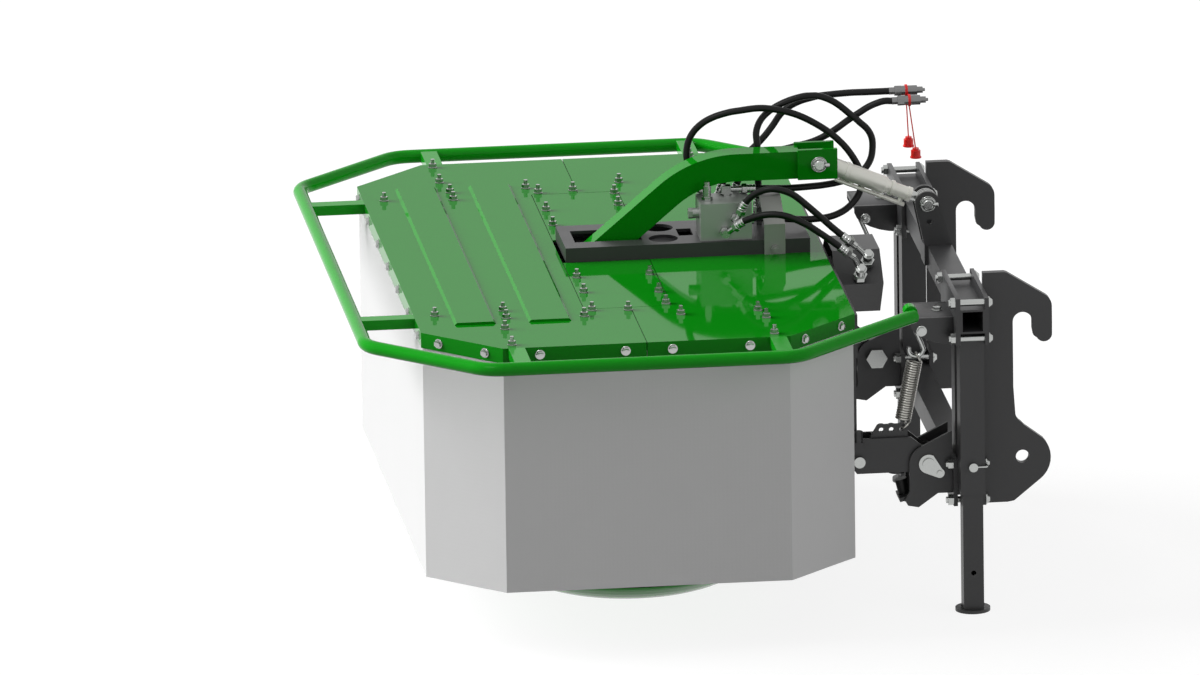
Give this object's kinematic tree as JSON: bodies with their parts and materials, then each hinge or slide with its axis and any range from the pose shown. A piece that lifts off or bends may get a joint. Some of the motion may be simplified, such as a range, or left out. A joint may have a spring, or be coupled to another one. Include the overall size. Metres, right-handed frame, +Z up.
{
  "type": "front drum mower",
  "caption": "Front-mounted drum mower with a curtained sheet deck, tube guard rail, hydraulic drive and a floating quick-hitch headstock on stand legs.",
  "frame": {"origin": "centre of the outline on the ground", "axes": "+X towards the carrier (rear), +Y across to the right, +Z up"},
  "size_m": [1.7278, 2.0698, 1.1493],
  "materials": {
    "black_paint": "satin powder coat",
    "green_paint": "glossy enamel",
    "zinc": "zinc plated",
    "bare_steel": "machined",
    "spring_steel": "zinc plated wire",
    "rubber": "matt",
    "curtain": "coated cloth",
    "red_plastic": "moulded"
  },
  "bodies": {
    "headstock": {"upper_crossbar": "black_paint", "lower_crossbar": "black_paint", "uprights": "black_paint", "hook_plate_left": "black_paint", "hook_plate_right": "black_paint", "stand_sleeves": "black_paint", "stand_legs": "black_paint", "mast": "black_paint", "mast_pin": "zinc", "upper_bracket_left": "black_paint", "upper_bracket_right": "black_paint", "lower_bracket_left": "black_paint", "lower_bracket_right": "black_paint", "clamp_plates": "black_paint", "clamp_bolts": "zinc", "pivot_pins": "zinc", "buffers": "rubber", "s_hooks": "zinc", "spring_left": "spring_steel", "spring_right": "spring_steel"},
    "leg_pin_left": {"leg_pin_left": "zinc"},
    "leg_pin_right": {"leg_pin_right": "zinc"},
    "lift_arms": {"lower_arm_left": "black_paint", "lower_arm_right": "black_paint", "arm_bolts": "zinc"},
    "top_link": {"top_link_barrel": "bare_steel", "top_link_ends": "bare_steel"},
    "mower": {"mower_frame": "black_paint", "deck_front": "green_paint", "deck_rear": "green_paint", "deck_panels": "green_paint", "beam": "black_paint", "drive_housing": "black_paint", "gooseneck": "green_paint", "clevis_pin": "zinc", "guard_rail": "green_paint", "guard_arms": "green_paint", "curtain": "curtain", "deck_studs": "zinc", "flange_bolts": "zinc", "valve_block": "bare_steel", "valve_cartridge": "zinc", "hose_fittings": "zinc", "hose_saddle": "zinc", "motor": "bare_steel", "motor_guard": "black_paint", "hydraulic_hoses": "rubber", "supply_hoses": "rubber", "couplers": "bare_steel", "dust_caps": "red_plastic"},
    "drum_left": {"drum_left": "green_paint"},
    "skid_disc_left": {"skid_disc_left": "green_paint"},
    "blade_left_1": {"blade_left_1": "zinc"},
    "blade_left_2": {"blade_left_2": "zinc"},
    "blade_left_3": {"blade_left_3": "zinc"},
    "drum_right": {"drum_right": "green_paint"},
    "skid_disc_right": {"skid_disc_right": "green_paint"},
    "blade_right_1": {"blade_right_1": "zinc"},
    "blade_right_2": {"blade_right_2": "zinc"},
    "blade_right_3": {"blade_right_3": "zinc"}
  },
  "joints": [
    {"name": "arm_lift", "type": "hinge", "parent": "headstock", "child": "lift_arms", "pos_m": [0.55493, 0, 0.361], "axis": [0, 1, 0], "range_deg": [-14, 12], "deforming": ["spring_left", "spring_right"]},
    {"name": "mower_pitch", "type": "hinge", "parent": "lift_arms", "child": "mower", "pos_m": [0.38593, 0, 0.37], "axis": [0, 1, 0], "range_deg": [-11, 13]},
    {"name": "top_link_swing", "type": "hinge", "parent": "headstock", "child": "top_link", "pos_m": [0.62492, 0, 0.881], "axis": [0, 1, 0], "range_deg": [-9.5, 8.2]},
    {"name": "drum_left_spin", "type": "hinge", "parent": "mower", "child": "drum_left", "pos_m": [-0.17408, -0.42, 0.3], "axis": [0, 0, 1], "continuous": true},
    {"name": "skid_left_spin", "type": "hinge", "parent": "drum_left", "child": "skid_disc_left", "pos_m": [-0.17408, -0.42, 0.12], "axis": [0, 0, 1], "continuous": true},
    {"name": "blade_left_1_swing", "type": "hinge", "parent": "drum_left", "child": "blade_left_1", "pos_m": [0.08793, -0.42, 0.15], "axis": [0, 0, 1], "continuous": true},
    {"name": "blade_left_2_swing", "type": "hinge", "parent": "drum_left", "child": "blade_left_2", "pos_m": [-0.30507, -0.1931, 0.15], "axis": [0, 0, 1], "continuous": true},
    {"name": "blade_left_3_swing", "type": "hinge", "parent": "drum_left", "child": "blade_left_3", "pos_m": [-0.30507, -0.6469, 0.15], "axis": [0, 0, 1], "continuous": true},
    {"name": "leg_pin_left_pull", "type": "slide", "parent": "headstock", "child": "leg_pin_left", "axis": [0, -1, 0], "range_m": [0, 0.1]},
    {"name": "drum_right_spin", "type": "hinge", "parent": "mower", "child": "drum_right", "pos_m": [-0.17408, 0.42, 0.3], "axis": [0, 0, 1], "continuous": true},
    {"name": "skid_right_spin", "type": "hinge", "parent": "drum_right", "child": "skid_disc_right", "pos_m": [-0.17408, 0.42, 0.12], "axis": [0, 0, 1], "continuous": true},
    {"name": "blade_right_1_swing", "type": "hinge", "parent": "drum_right", "child": "blade_right_1", "pos_m": [0.08793, 0.42, 0.15], "axis": [0, 0, 1], "continuous": true},
    {"name": "blade_right_2_swing", "type": "hinge", "parent": "drum_right", "child": "blade_right_2", "pos_m": [-0.30507, 0.6469, 0.15], "axis": [0, 0, 1], "continuous": true},
    {"name": "blade_right_3_swing", "type": "hinge", "parent": "drum_right", "child": "blade_right_3", "pos_m": [-0.30507, 0.1931, 0.15], "axis": [0, 0, 1], "continuous": true},
    {"name": "leg_pin_right_pull", "type": "slide", "parent": "headstock", "child": "leg_pin_right", "axis": [0, 1, 0], "range_m": [0, 0.1]}
  ],
  "couplings": [
    {"joint": "mower_pitch", "follows": "arm_lift", "ratio": -0.895},
    {"joint": "top_link_swing", "follows": "arm_lift", "ratio": 0.64},
    {"joint": "drum_right_spin", "follows": "drum_left_spin", "ratio": -1}
  ]
}
